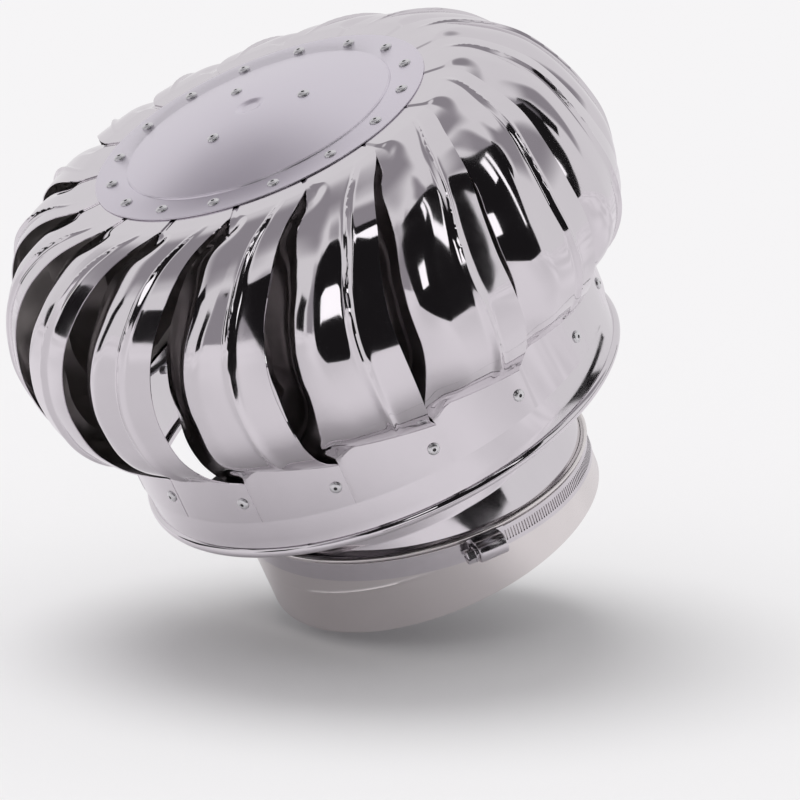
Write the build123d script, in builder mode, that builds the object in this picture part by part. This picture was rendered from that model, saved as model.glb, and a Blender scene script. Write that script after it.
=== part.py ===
from build123d import *
import os
from math import atan, cos, degrees, radians, sin, sqrt, tan

# Roof turbine ventilator for a 200 mm throat, in millimetres.
# The origin is the centre of the collar's lower rim, on the spindle axis, and +Z is up.
# The rotor (cap, sixteen blades, ring, spider) turns on a fixed spindle, which three bracket
# arms carry in the throat. A worm-drive band clamps the collar round the throat.

# ---------------------------------------------------------------- driving dimensions
blade_count = 16
pitch = 360 / blade_count
sheet = 0.6                 # blade sheet
body_sheet = 1.0            # cap, ring, throat and collar sheet
lap_gap = 0.05              # between two sheets that lie on each other
rivet_fit = 0.05            # radial clearance of a rivet in its holes
running_fit = 0.05          # radial clearance of a turning fit
slip_fit = 0.02             # radial clearance of a seated bearing ring

# cap
cap_top = 299.2             # upper face of the cap's flat rim
cap_radius = 106.0
dome_radius = 85.0
dome_height = 13.2
dome_bands = [85.0, 66.0, 44.0, 11.0, 8.0]  # radii where one cone of the dome meets the next
dome_step = 1.2             # upright step where the dome meets the rim
dimple_depth = 0.7
cap_rivet_circle = 95.0
cap_rivet_angle = 64.41 - 9 * pitch
hub_rivet_circle = 34.6
hub_rivet_angle = 97.28
hub_rivet_count = 3

# rivets
rivet_head = 7.6
rivet_head_height = 1.7
rivet_shank = 4.0
rivet_tail_length = 3.0
rivet_sides = 12            # rivets and their holes are drawn with this many flats

# rotor ring
ring_rivet_height = 132.2
ring_rivet_angle = 254.17 - 2 * pitch
tab_radius = 156.7          # outer face of the blade tabs
tab_corner = 2.6            # from a rivet to its tab's free edge, degrees
tab_step = 0.5              # the jog between a tab's two layers, degrees
tab_overlap = 2.2           # how far a tab runs on past its neighbour's rivet, degrees
ring_top = 143.0
ring_bottom = 92.0
ring_bead = 3.4             # radius of the rolled bead at the ring's lower edge

# blades: station rows down the blade, from the notch under the cap to the crease over the ring.
# radius, height, free edge's angle from the tab corner, depth of the tucked edge, rib height
stations = [
    (86.5, 298.2, 18.5, 0.0, 0.0),
    (127.5, 298.2, 18.5, 0.0, 0.0),
    (134.5, 296.9, 14.0, 4.0, 0.5),
    (146.0, 292.4, 9.4, 9.0, 1.0),
    (158.0, 285.4, 6.2, 14.0, 1.2),
    (170.0, 274.8, 3.4, 19.0, 1.2),
    (181.5, 257.4, 0.2, 23.0, 1.2),
    (190.0, 236.0, -1.8, 26.0, 1.2),
    (194.4, 213.0, -2.3, 26.0, 1.2),
    (191.0, 188.5, -2.2, 20.0, 1.2),
    (180.5, 168.5, -1.9, 11.0, 1.0),
    (167.5, 154.6, -1.5, 4.0, 0.5),
    (tab_radius, 145.0, 0.0, 0.65, 0.0),
    (tab_radius, 118.0, 0.0, 0.65, 0.0),
]
blade_span = 24.5           # from the free edge to the tucked edge at the belly, degrees
blade_flat = 13.0           # from the free edge to where the sheet turns in, degrees
rib_offset = 6.6            # from the free edge to the rib, degrees
rib_width = 4.0
tab_side_gap = 0.5          # between two blade tabs under the cap, degrees

# spindle and bearings
spindle_radius = 5.0
spindle_bottom = 66.0
spindle_top = 304.5
bearing_outer = 13.0
bearing_inner = 5.0
bearing_width = 8.0
race_wall = 2.3
seal_thickness = 0.8
seal_inset = 0.4
upper_bearing_drop = 9.2    # from the cap's rim down to the upper bearing's lower face

housing_edge = 1.0          # height of a housing's plain edge beside its bearing or its ring
bearing_lip = 2.0           # how far a housing's lip covers the outer race
housing_wall = 2.5
housing_flange = 2.0
upper_flange_radius = 44.0
lower_flange_radius = 23.0
housing_screw_circle = 19.2
housing_screw_count = 4
shoulder_radius = 7.0
shoulder_height = 4.0
clip_thickness = 1.0
clip_reach = 2.4            # how far a retaining ring stands out of its groove
clip_groove = 0.6
clip_gap = 6.0              # width of a retaining ring's opening

# rotor spider
spider_arms = 4
spider_height = 118.0
spider_thickness = 2.0
spider_width = 18.0
spider_disc = 26.0
spider_bore = 12.0
spider_flange = 22.0
screw_radius = 2.0          # the small screws that hold the lower housing
screw_head_flats = 6.0
screw_head_height = 2.8
screw_length = 8.0
screw_nut_flats = 7.0
screw_nut_height = 3.2

# throat bracket
bracket_arms = 3
bracket_angle = 90
bracket_height = 88.0
bracket_thickness = 2.5
bracket_width = 20.0
bracket_disc = 24.0
bracket_leg = 20.0
bracket_rivet_drop = 11.0
nut_across_flats = 17.0
nut_height = 8.0
washer_radius = 10.0
washer_thickness = 1.5

# throat and collar
neck_radius = 104.0
neck_top = 110.0
neck_bottom = 14.0
flare_top = 57.0
flare_bottom = 40.0
neck_hem = 1.6              # radius of the hem on the throat's upper edge
flare_step = 6.3            # how much wider the throat is below its flare
collar_fit = 0.2            # between the flared throat and the collar
rim_height = 48.5           # the collar's slanted upper rim, on the axis
rim_slant = 8.2             # degrees, lower on the +X side
rim_lip = 2.4
rim_lip_height = 3.0

# worm-drive clamp
band_width = 12.7
band_thickness = 0.7
band_fit = 0.1
band_drop = 11.0            # from the rim to the middle of the band
housing_angle = 282.9
housing_length = 19.0
housing_width = 13.0
housing_height = 12.5
saddle_length = 25.0
saddle_thickness = 0.8
saddle_width = 15.5
end_wall = 1.5
end_play = 0.3
worm_radius = 4.4
worm_height = 6.4           # screw axis above the band
head_across_flats = 8.0
head_length = 6.0
head_slot = 1.2
neck_length = 1.4
neck_shank = 3.0

# ---------------------------------------------------------------- derived sizes
cap_underside = cap_top - body_sheet
upper_bearing_height = cap_top - upper_bearing_drop
lower_bearing_height = spider_height + spider_thickness + housing_edge
dome_sphere = (dome_radius**2 + (dome_height - dome_step)**2) / (2 * (dome_height - dome_step))
dome_centre = cap_top + dome_height - dome_sphere
tab_span = pitch + tab_corner + tab_overlap
facet_sag = tab_radius * (1 - cos(radians(pitch * 0.2)))
ring_radius = tab_radius - 2 * (sheet + lap_gap) - facet_sag
hole_radius = rivet_shank / 2 + rivet_fit
inner_race_radius = bearing_inner + race_wall
outer_race_radius = bearing_outer - race_wall
first_corner = ring_rivet_angle + tab_corner
bead_centre = ring_bottom + ring_bead
throat_inner = neck_radius - body_sheet
flare_radius = neck_radius + flare_step
collar_inner = flare_radius + collar_fit
collar_radius = collar_inner + body_sheet
os.makedirs("parts", exist_ok=True)


def sphere_z(radius):
    """Height of the sphere that the dome's bands are cut to."""
    return dome_centre + sqrt(dome_sphere**2 - radius**2)


def dome_z(radius, depth=0.0):
    """Height of the dome at a radius, on the cone between two bands, less a depth."""
    outer = min(band for band in dome_bands if band >= radius)
    inner = max(band for band in dome_bands if band < outer)
    share = (radius - inner) / (outer - inner)
    return sphere_z(inner) * (1 - share) + sphere_z(outer) * share - depth


def radial_plane(angle, radius, height):
    """A plane that faces outward from the axis, with its x along the ring."""
    out = Vector(cos(radians(angle)), sin(radians(angle)), 0)
    along = Vector(-sin(radians(angle)), cos(radians(angle)), 0)
    return Plane(origin=out * radius + Vector(0, 0, height), x_dir=along, z_dir=out)


def save(piece, name):
    """Labels a piece and writes it as its own STEP file."""
    piece.label = name
    export_step(piece, f"parts/{name}.step")


def make_rivet(grip):
    """One blind rivet: its head on XY, its shank through the grip and on behind it."""
    with BuildPart() as rivet:
        with BuildSketch(Plane.XY):
            RegularPolygon(rivet_head / 2, rivet_sides)
        extrude(amount=rivet_head_height, taper=45)
        with BuildSketch(Plane.XY):
            RegularPolygon(rivet_shank / 2, rivet_sides)
        extrude(amount=-grip - rivet_tail_length)
    return rivet.part


band_outer, band_inner = dome_bands[2:4]
hub_lean = atan((dome_z(band_inner) - dome_z(band_outer)) / (band_outer - band_inner))
hub_planes = []
for count in range(hub_rivet_count):
    turn = radians(hub_rivet_angle + 360 * count / hub_rivet_count)
    seat = Vector(hub_rivet_circle * cos(turn), hub_rivet_circle * sin(turn), dome_z(hub_rivet_circle))
    normal = Vector(sin(hub_lean) * cos(turn), sin(hub_lean) * sin(turn), cos(hub_lean))
    hub_planes.append(Plane(origin=seat, z_dir=normal))

# ---------------------------------------------------------------- cap
dimple_z = sphere_z(dome_bands[-1]) - dimple_depth
inner_bands = [dome_radius - body_sheet] + dome_bands[1:]
with BuildPart() as top_cap:
    with BuildSketch(Plane.XZ):
        with BuildLine():
            Polyline(
                (cap_radius, cap_underside),
                (cap_radius, cap_top),
                (dome_radius, cap_top),
                *[(band, sphere_z(band)) for band in dome_bands],
                (0, dimple_z),
                (0, dimple_z - body_sheet),
                *[(band, sphere_z(band) - body_sheet) for band in reversed(inner_bands)],
                (dome_radius - body_sheet, cap_underside),
                close=True,
            )
        make_face()
    revolve(axis=Axis.Z)
    with BuildSketch(Plane.XY.offset(cap_underside)):
        with PolarLocations(cap_rivet_circle, blade_count, start_angle=cap_rivet_angle):
            RegularPolygon(hole_radius, rivet_sides)
    extrude(amount=body_sheet, mode=Mode.SUBTRACT)
    for hub_plane in hub_planes:
        with BuildSketch(hub_plane):
            RegularPolygon(hole_radius, rivet_sides)
        extrude(amount=2 * body_sheet, both=True, mode=Mode.SUBTRACT)
save(top_cap.part, "top_cap")

# ---------------------------------------------------------------- blades
# Each blade is one strip of sheet. Its section is drawn in a plane square to the rotor's
# outline at each station: flat along the outline from the free edge, over the pressed rib,
# then turned inward to the tucked edge, which passes behind the next blade's free edge.
# Between two stations the sheet is folded, so that every facet of it is flat.
deepest = max(row[3] for row in stations)
rib_half = degrees(rib_width / 2 / max(row[0] for row in stations))
with BuildLine(Plane.XZ) as outline:
    Spline(*[(row[0], row[1]) for row in stations[1:-2]], tangents=((1, 0), (-1, -1)))


def section_plane(row, kind):
    """The plane square to the rotor's outline at a station, with +Y out of the rotor."""
    radius, height, edge = row[0:3]
    along = Vector(1, 0, 0) if kind == "cap" else Vector(0, 0, -1)
    if kind == "belly":
        along = outline.edges()[0].tangent_at(Vector(radius, 0, height))
    turn = radians(first_corner + edge - pitch / 2)
    normal = Vector(along.X * cos(turn), along.X * sin(turn), along.Z)
    across = Vector(-sin(turn), cos(turn), 0)
    origin = Vector(radius * cos(turn), radius * sin(turn), height)
    return Plane(origin=origin, x_dir=across, z_dir=normal)


def lap_lift(offset):
    """How far the tucked layer of a tab lies inside the tab circle, under the next tab's first facet."""
    half = (rib_offset - rib_half) / 2
    chord = tab_radius * cos(radians(half)) / cos(radians(offset - pitch - half))
    return chord - tab_radius - (sheet + lap_gap) / cos(radians(half))


def section_marks(row, kind):
    """Angle from the free edge and height above the outline, along the outer side of the sheet."""
    depth, rib = row[3:5]
    if kind == "cap":
        ends = [(blade_flat, 0), (blade_flat + 3, 0), (blade_flat + 6, 0), (pitch - tab_side_gap, 0)]
    elif kind == "ring":
        lap_start = pitch - tab_step
        ends = [(pitch * 0.64, 0), (lap_start - tab_step, 0),
                (lap_start, lap_lift(lap_start)), (tab_span, lap_lift(tab_span))]
    else:
        turn_in = blade_span - blade_flat
        ends = [(blade_flat, 0), (blade_flat + turn_in * 0.3, -depth * 0.22),
                (blade_flat + turn_in * 0.65, -depth * 0.66), (blade_span, -depth)]
    rib_marks = [(rib_offset - rib_half, 0), (rib_offset, rib), (rib_offset + rib_half, 0)]
    return [(0, 0)] + rib_marks + ends


def section_points(row, kind, plane):
    """The outer line of the sheet in a station's plane, from the free edge to the tucked edge."""
    facing = -plane.z_dir.Z
    points = []
    for offset, lift in section_marks(row, kind):
        turn = radians(pitch / 2 - offset)
        reach = facing * sin(turn) + (1 - facing) * tan(turn)
        sink = row[0] * (1 - cos(turn)) * facing
        tilt = turn if kind == "ring" else 0
        points.append((row[0] * reach + lift * sin(tilt), lift * cos(tilt) - sink))
    return points


def inset(points, distance):
    """The points moved inward, square to the line that runs through them."""
    moved = []
    for index, (x, y) in enumerate(points):
        before = points[max(index - 1, 0)]
        after = points[min(index + 1, len(points) - 1)]
        run = (after[0] - before[0], after[1] - before[1])
        length = sqrt(run[0]**2 + run[1]**2)
        moved.append((x - run[1] / length * distance, y + run[0] / length * distance))
    return moved


def facet(*corners):
    """One flat face through its corners."""
    return Face(Wire.make_polygon(corners, close=True))


def folded(near, far):
    """The flat facets between two rows of points, two for each cell."""
    facets = []
    for index in range(len(near) - 1):
        facets.append(facet(near[index], near[index + 1], far[index]))
        facets.append(facet(near[index + 1], far[index + 1], far[index]))
    return facets


outer_rows = []
inner_rows = []
for row in stations:
    kind = "belly"
    if row in stations[:2]:
        kind = "cap"
    if row in stations[-2:]:
        kind = "ring"
    plane = section_plane(row, kind)
    outer = section_points(row, kind, plane)
    outer_rows.append([plane.from_local_coords(point) for point in outer])
    inner_rows.append([plane.from_local_coords(point) for point in inset(outer, sheet)])

skin = []
for index in range(len(stations) - 1):
    skin += folded(outer_rows[index], outer_rows[index + 1])
    skin += folded(inner_rows[index], inner_rows[index + 1])
for side in (0, -1):
    skin += folded([row[side] for row in outer_rows], [row[side] for row in inner_rows])
for end in (0, -1):
    skin.append(facet(*outer_rows[end], *reversed(inner_rows[end])))

with BuildPart() as blade:
    add(Solid(Shell(skin)))
    with BuildSketch(Plane.XY.offset(cap_underside - 2 * sheet)):
        with PolarLocations(cap_rivet_circle, 1, start_angle=cap_rivet_angle):
            RegularPolygon(hole_radius, rivet_sides)
    extrude(amount=3 * sheet, mode=Mode.SUBTRACT)
    for angle in (ring_rivet_angle, ring_rivet_angle - pitch):
        with BuildSketch(radial_plane(angle, ring_radius - 2 * sheet, ring_rivet_height)):
            RegularPolygon(hole_radius, rivet_sides)
        extrude(amount=6 * sheet, mode=Mode.SUBTRACT)
for count in range(blade_count):
    save(blade.part.rotate(Axis.Z, count * pitch), f"blade_{count + 1:02d}")

# ---------------------------------------------------------------- rotor ring and spider
with BuildPart() as rotor_ring:
    with BuildSketch(Plane.XZ):
        with Locations((ring_radius - body_sheet / 2, (ring_top + bead_centre) / 2)):
            Rectangle(body_sheet, ring_top - bead_centre)
        with Locations((ring_radius, bead_centre)):
            RegularPolygon(ring_bead, 6, major_radius=False, rotation=30)
    revolve(axis=Axis.Z)
    for count in range(blade_count):
        with BuildSketch(radial_plane(ring_rivet_angle + count * pitch, ring_radius - 2, ring_rivet_height)):
            RegularPolygon(hole_radius, rivet_sides)
        extrude(amount=4, mode=Mode.SUBTRACT)
save(rotor_ring.part, "rotor_ring")

flange_radius = ring_radius - body_sheet - lap_gap
with BuildPart() as rotor_spider:
    with BuildSketch(Plane.XY.offset(spider_height)):
        Circle(spider_disc)
        for count in range(spider_arms):
            with Locations(Plane.XY.rotated((0, 0, ring_rivet_angle + 360 / spider_arms * count))):
                with Locations((flange_radius / 2, 0)):
                    Rectangle(flange_radius, spider_width)
        Circle(flange_radius, mode=Mode.INTERSECT)
        Circle(spider_bore, mode=Mode.SUBTRACT)
    extrude(amount=spider_thickness)
    with BuildSketch(Plane.XY.offset(spider_height)):
        for count in range(spider_arms):
            with Locations(Plane.XY.rotated((0, 0, ring_rivet_angle + 360 / spider_arms * count))):
                with Locations((flange_radius, 0)):
                    Rectangle(spider_width, spider_width)
        Circle(flange_radius, mode=Mode.INTERSECT)
        Circle(flange_radius - spider_thickness, mode=Mode.SUBTRACT)
    extrude(amount=spider_flange)
    for count in range(spider_arms):
        angle = ring_rivet_angle + 360 / spider_arms * count
        with BuildSketch(radial_plane(angle, flange_radius - 3, ring_rivet_height)):
            RegularPolygon(hole_radius, rivet_sides)
        extrude(amount=4, mode=Mode.SUBTRACT)
    with BuildSketch(Plane.XY.offset(spider_height)):
        with PolarLocations(housing_screw_circle, housing_screw_count):
            Circle(screw_radius + rivet_fit)
    extrude(amount=spider_thickness, mode=Mode.SUBTRACT)
save(rotor_spider.part, "rotor_spider")

# ---------------------------------------------------------------- rivets of the rotor
cap_grip = body_sheet + sheet + 2 * lap_gap
cap_rivet = make_rivet(cap_grip)
with BuildPart() as cap_rivets:
    with Locations((0, 0, cap_top)):
        with PolarLocations(cap_rivet_circle, blade_count, start_angle=cap_rivet_angle):
            add(cap_rivet)
save(cap_rivets.part, "cap_rivets")

hub_rivet = make_rivet(body_sheet + housing_flange + 2 * lap_gap)
with BuildPart() as hub_rivets:
    for hub_plane in hub_planes:
        with Locations(hub_plane):
            add(hub_rivet)
save(hub_rivets.part, "hub_rivets")

ring_grip = tab_radius - ring_radius + body_sheet + lap_gap
arm_grip = ring_grip + spider_thickness + lap_gap
arm_step = blade_count // spider_arms
with BuildPart() as ring_rivets:
    for count in range(blade_count):
        if count % arm_step:
            with Locations(radial_plane(ring_rivet_angle + count * pitch, tab_radius, ring_rivet_height)):
                add(make_rivet(ring_grip))
save(ring_rivets.part, "ring_rivets")
with BuildPart() as arm_rivets:
    for count in range(0, blade_count, arm_step):
        with Locations(radial_plane(ring_rivet_angle + count * pitch, tab_radius, ring_rivet_height)):
            add(make_rivet(arm_grip))
save(arm_rivets.part, "arm_rivets")

# ---------------------------------------------------------------- bearing housings
cup_radius = bearing_outer + slip_fit + housing_wall
seat_radius = bearing_outer + slip_fit
lip_radius = bearing_outer - bearing_lip
upper_lip = upper_bearing_height + bearing_width
cup_bottom = upper_bearing_height - clip_thickness - 2 * clip_thickness
with BuildPart() as upper_housing:
    with BuildSketch(Plane.XZ):
        with BuildLine():
            top = body_sheet + lap_gap
            under = top + housing_flange
            Polyline(
                (lip_radius, dome_z(lip_radius, top)),
                (upper_flange_radius, dome_z(upper_flange_radius, top)),
                (upper_flange_radius, dome_z(upper_flange_radius, under)),
                (cup_radius, dome_z(cup_radius, under)),
                (cup_radius, cup_bottom),
                (seat_radius, cup_bottom),
                (seat_radius, upper_lip),
                (lip_radius, upper_lip),
                close=True,
            )
        make_face()
    revolve(axis=Axis.Z)
    with BuildSketch(Plane.XY.offset(upper_bearing_height - clip_thickness)):
        Circle(seat_radius + clip_groove)
        Circle(seat_radius - 1, mode=Mode.SUBTRACT)
    extrude(amount=clip_thickness, mode=Mode.SUBTRACT)
    for hub_plane in hub_planes:
        with BuildSketch(hub_plane):
            RegularPolygon(hole_radius, rivet_sides)
        extrude(amount=-3 * housing_flange, mode=Mode.SUBTRACT)
save(upper_housing.part, "upper_bearing_housing")

flange_seat = spider_height + spider_thickness
lower_top = lower_bearing_height + bearing_width + clip_thickness + housing_edge
with BuildPart() as lower_housing:
    with BuildSketch(Plane.XZ):
        with BuildLine():
            Polyline(
                (lip_radius, flange_seat),
                (lower_flange_radius, flange_seat),
                (lower_flange_radius, flange_seat + housing_flange),
                (cup_radius, flange_seat + housing_flange),
                (cup_radius, lower_top),
                (seat_radius, lower_top),
                (seat_radius, lower_bearing_height),
                (lip_radius, lower_bearing_height),
                close=True,
            )
        make_face()
    revolve(axis=Axis.Z)
    with BuildSketch(Plane.XY.offset(lower_bearing_height + bearing_width)):
        Circle(seat_radius + clip_groove)
        Circle(seat_radius - 1, mode=Mode.SUBTRACT)
    extrude(amount=clip_thickness, mode=Mode.SUBTRACT)
    with BuildSketch(Plane.XY.offset(flange_seat)):
        with PolarLocations(housing_screw_circle, housing_screw_count):
            Circle(screw_radius + rivet_fit)
    extrude(amount=housing_flange, mode=Mode.SUBTRACT)
save(lower_housing.part, "lower_bearing_housing")

with BuildPart() as housing_screws:
    with BuildSketch(Plane.XY.offset(flange_seat + housing_flange)):
        with PolarLocations(housing_screw_circle, housing_screw_count):
            RegularPolygon(screw_head_flats / 2, 6, major_radius=False)
    extrude(amount=screw_head_height)
    with BuildSketch(Plane.XY.offset(flange_seat + housing_flange)):
        with PolarLocations(housing_screw_circle, housing_screw_count):
            Circle(screw_radius)
    extrude(amount=-screw_length)
save(housing_screws.part, "housing_screws")

with BuildPart() as housing_nuts:
    with BuildSketch(Plane.XY.offset(spider_height)):
        with PolarLocations(housing_screw_circle, housing_screw_count):
            RegularPolygon(screw_nut_flats / 2, 6, major_radius=False)
            Circle(screw_radius + slip_fit, mode=Mode.SUBTRACT)
    extrude(amount=-screw_nut_height)
save(housing_nuts.part, "housing_nuts")


# ---------------------------------------------------------------- bearings
def ring(inner_radius, outer_radius, bottom, height):
    """A plain ring on the spindle axis."""
    with BuildPart() as made:
        with BuildSketch(Plane.XY.offset(bottom)):
            Circle(outer_radius)
            Circle(inner_radius, mode=Mode.SUBTRACT)
        extrude(amount=height)
    return made


def retaining_ring(inner_radius, outer_radius, bottom):
    """A snap ring with its opening on the -X side."""
    made = ring(inner_radius, outer_radius, bottom, clip_thickness)
    with BuildPart() as opened:
        add(made.part)
        with BuildSketch(Plane.XY.offset(bottom)):
            with Locations((-outer_radius, 0)):
                Rectangle(outer_radius * 1.2, clip_gap)
        extrude(amount=clip_thickness, mode=Mode.SUBTRACT)
    return opened


bearings = [("upper", upper_bearing_height), ("lower", lower_bearing_height)]
for place, height in bearings:
    save(ring(spindle_radius + slip_fit, inner_race_radius, height, bearing_width).part,
         f"{place}_inner_race")
    save(ring(outer_race_radius, bearing_outer, height, bearing_width).part, f"{place}_outer_race")
    with BuildPart() as seals:
        for bottom in (height + seal_inset, height + bearing_width - seal_inset - seal_thickness):
            with BuildSketch(Plane.XY.offset(bottom)):
                Circle(outer_race_radius)
                Circle(inner_race_radius + running_fit, mode=Mode.SUBTRACT)
            extrude(amount=seal_thickness)
    save(seals.part, f"{place}_seals")
outer_clip_bottoms = [("upper", upper_bearing_height - clip_thickness),
                      ("lower", lower_bearing_height + bearing_width)]
for place, bottom in outer_clip_bottoms:
    clip = retaining_ring(seat_radius - clip_reach, seat_radius + clip_groove - lap_gap, bottom)
    save(clip.part, f"{place}_housing_ring")
clip_bottom = upper_bearing_height + bearing_width
clip = retaining_ring(spindle_radius - clip_groove + lap_gap, spindle_radius + clip_reach, clip_bottom)
save(clip.part, "spindle_ring")

# ---------------------------------------------------------------- spindle and throat bracket
with BuildPart() as spindle:
    with BuildSketch(Plane.XY.offset(spindle_bottom)):
        Circle(spindle_radius)
    extrude(amount=spindle_top - spindle_bottom)
    chamfer(spindle.edges().filter_by(GeomType.CIRCLE), length=0.8)
    with BuildSketch(Plane.XY.offset(upper_bearing_height - shoulder_height)):
        Circle(shoulder_radius)
    extrude(amount=shoulder_height)
    with BuildSketch(Plane.XY.offset(clip_bottom)):
        Circle(spindle_radius)
        Circle(spindle_radius - clip_groove, mode=Mode.SUBTRACT)
    extrude(amount=clip_thickness, mode=Mode.SUBTRACT)
save(spindle.part, "spindle")

leg_radius = throat_inner - lap_gap
bracket_rivet_height = bracket_height - bracket_rivet_drop
with BuildPart() as throat_bracket:
    with BuildSketch(Plane.XY.offset(bracket_height)):
        Circle(bracket_disc)
        for count in range(bracket_arms):
            with Locations(Plane.XY.rotated((0, 0, bracket_angle + 360 / bracket_arms * count))):
                with Locations((leg_radius / 2, 0)):
                    Rectangle(leg_radius, bracket_width)
        Circle(leg_radius, mode=Mode.INTERSECT)
        Circle(spindle_radius + running_fit, mode=Mode.SUBTRACT)
    extrude(amount=bracket_thickness)
    with BuildSketch(Plane.XY.offset(bracket_height + bracket_thickness)):
        for count in range(bracket_arms):
            with Locations(Plane.XY.rotated((0, 0, bracket_angle + 360 / bracket_arms * count))):
                with Locations((leg_radius, 0)):
                    Rectangle(bracket_width, bracket_width)
        Circle(leg_radius, mode=Mode.INTERSECT)
        Circle(leg_radius - bracket_thickness, mode=Mode.SUBTRACT)
    extrude(amount=-bracket_leg - bracket_thickness)
    for count in range(bracket_arms):
        angle = bracket_angle + 360 / bracket_arms * count
        with BuildSketch(radial_plane(angle, leg_radius - 4, bracket_rivet_height)):
            RegularPolygon(hole_radius, rivet_sides)
        extrude(amount=5, mode=Mode.SUBTRACT)
save(throat_bracket.part, "throat_bracket")

bracket_grip = body_sheet + lap_gap + bracket_thickness + lap_gap
with BuildPart() as bracket_rivets:
    for count in range(bracket_arms):
        angle = bracket_angle + 360 / bracket_arms * count
        with Locations(radial_plane(angle, neck_radius, bracket_rivet_height)):
            add(make_rivet(bracket_grip))
save(bracket_rivets.part, "bracket_rivets")

upper_washer = bracket_height + bracket_thickness
lower_washer = bracket_height - washer_thickness
with BuildPart() as spindle_washers:
    for bottom in (upper_washer, lower_washer):
        with BuildSketch(Plane.XY.offset(bottom)):
            Circle(washer_radius)
            Circle(spindle_radius + running_fit, mode=Mode.SUBTRACT)
        extrude(amount=washer_thickness)
save(spindle_washers.part, "spindle_washers")
with BuildPart() as spindle_nuts:
    for bottom in (upper_washer + washer_thickness, lower_washer - nut_height):
        with BuildSketch(Plane.XY.offset(bottom)):
            RegularPolygon(nut_across_flats / 2, 6, major_radius=False)
            Circle(spindle_radius + running_fit, mode=Mode.SUBTRACT)
        extrude(amount=nut_height)
save(spindle_nuts.part, "spindle_nuts")

# ---------------------------------------------------------------- throat and collar
with BuildPart() as throat:
    with BuildSketch(Plane.XZ):
        with BuildLine():
            Polyline(
                (neck_radius, neck_top),
                (neck_radius, flare_top),
                (flare_radius, flare_bottom),
                (flare_radius, neck_bottom),
                (flare_radius - body_sheet, neck_bottom),
                (flare_radius - body_sheet, flare_bottom),
                (neck_radius - body_sheet, flare_top),
                (neck_radius - body_sheet, neck_top),
                close=True,
            )
        make_face()
        with Locations((neck_radius - body_sheet / 2, neck_top)):
            RegularPolygon(neck_hem, 6, major_radius=False)
    revolve(axis=Axis.Z)
    for count in range(bracket_arms):
        angle = bracket_angle + 360 / bracket_arms * count
        with BuildSketch(radial_plane(angle, throat_inner - 1, bracket_rivet_height)):
            RegularPolygon(hole_radius, rivet_sides)
        extrude(amount=3, mode=Mode.SUBTRACT)
save(throat.part, "throat")


def slanted(height):
    """A plane square to the clamp's slanted axis, at a height on the spindle axis."""
    lean = radians(rim_slant)
    return Plane(origin=(0, 0, height), x_dir=(cos(lean), 0, -sin(lean)), z_dir=(sin(lean), 0, cos(lean)))


def slanted_ring(inner_radius, outer_radius, bottom, height):
    """An upright-walled ring round the spindle axis with slanted edges."""
    with BuildPart() as made:
        with BuildSketch(Plane.XY):
            Circle(outer_radius)
            Circle(inner_radius, mode=Mode.SUBTRACT)
        extrude(amount=2 * rim_height)
        split(bisect_by=slanted(bottom + height), keep=Keep.BOTTOM)
        split(bisect_by=slanted(bottom), keep=Keep.TOP)
    return made


with BuildPart() as collar:
    with BuildSketch(Plane.XY):
        Circle(collar_radius)
        Circle(collar_inner, mode=Mode.SUBTRACT)
    extrude(amount=2 * rim_height)
    split(bisect_by=slanted(rim_height), keep=Keep.BOTTOM)
    add(slanted_ring(collar_inner, collar_radius + rim_lip, rim_height - rim_lip_height, rim_lip_height).part)
save(collar.part, "collar")

# ---------------------------------------------------------------- worm-drive clamp
band_radius = collar_radius + band_fit
band_face = band_radius + band_thickness
band_height = rim_height - band_drop
clamp_band = slanted_ring(band_radius, band_face, band_height - band_width / 2, band_width)
save(clamp_band.part, "clamp_band")

housing_turn = radians(housing_angle)
seat_height = band_height - band_face * cos(housing_turn) * tan(radians(rim_slant))
housing_out = Vector(cos(housing_turn), sin(housing_turn), 0)
slope = sin(housing_turn) * tan(radians(rim_slant))
housing_along = Vector(-sin(housing_turn), cos(housing_turn), slope).normalized()
housing_frame = Plane(origin=housing_out * (band_face + lap_gap) + Vector(0, 0, seat_height),
                      x_dir=housing_along, z_dir=housing_out)
side_frame = Plane(origin=housing_frame.origin - housing_along * (housing_length / 2),
                   x_dir=housing_frame.y_dir, z_dir=housing_along)
with BuildPart() as clamp_housing:
    with BuildSketch(side_frame):
        with BuildLine():
            Polyline((-housing_width / 2, worm_height), (-housing_width / 2, 0),
                     (housing_width / 2, 0), (housing_width / 2, worm_height))
            ThreePointArc((-housing_width / 2, worm_height), (0, housing_height),
                          (housing_width / 2, worm_height))
        make_face()
    extrude(amount=housing_length)
    with BuildSketch(side_frame.offset((housing_length - saddle_length) / 2)):
        with Locations((0, saddle_thickness / 2)):
            Rectangle(saddle_width, saddle_thickness)
    extrude(amount=saddle_length)
    with BuildSketch(side_frame.offset(end_wall)):
        with Locations((0, worm_height)):
            Circle(worm_radius + running_fit)
    extrude(amount=housing_length - 2 * end_wall, mode=Mode.SUBTRACT)
    with BuildSketch(side_frame):
        with Locations((0, worm_height)):
            Circle(neck_shank + running_fit)
    extrude(amount=housing_length, mode=Mode.SUBTRACT)
save(clamp_housing.part, "clamp_housing")

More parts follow.
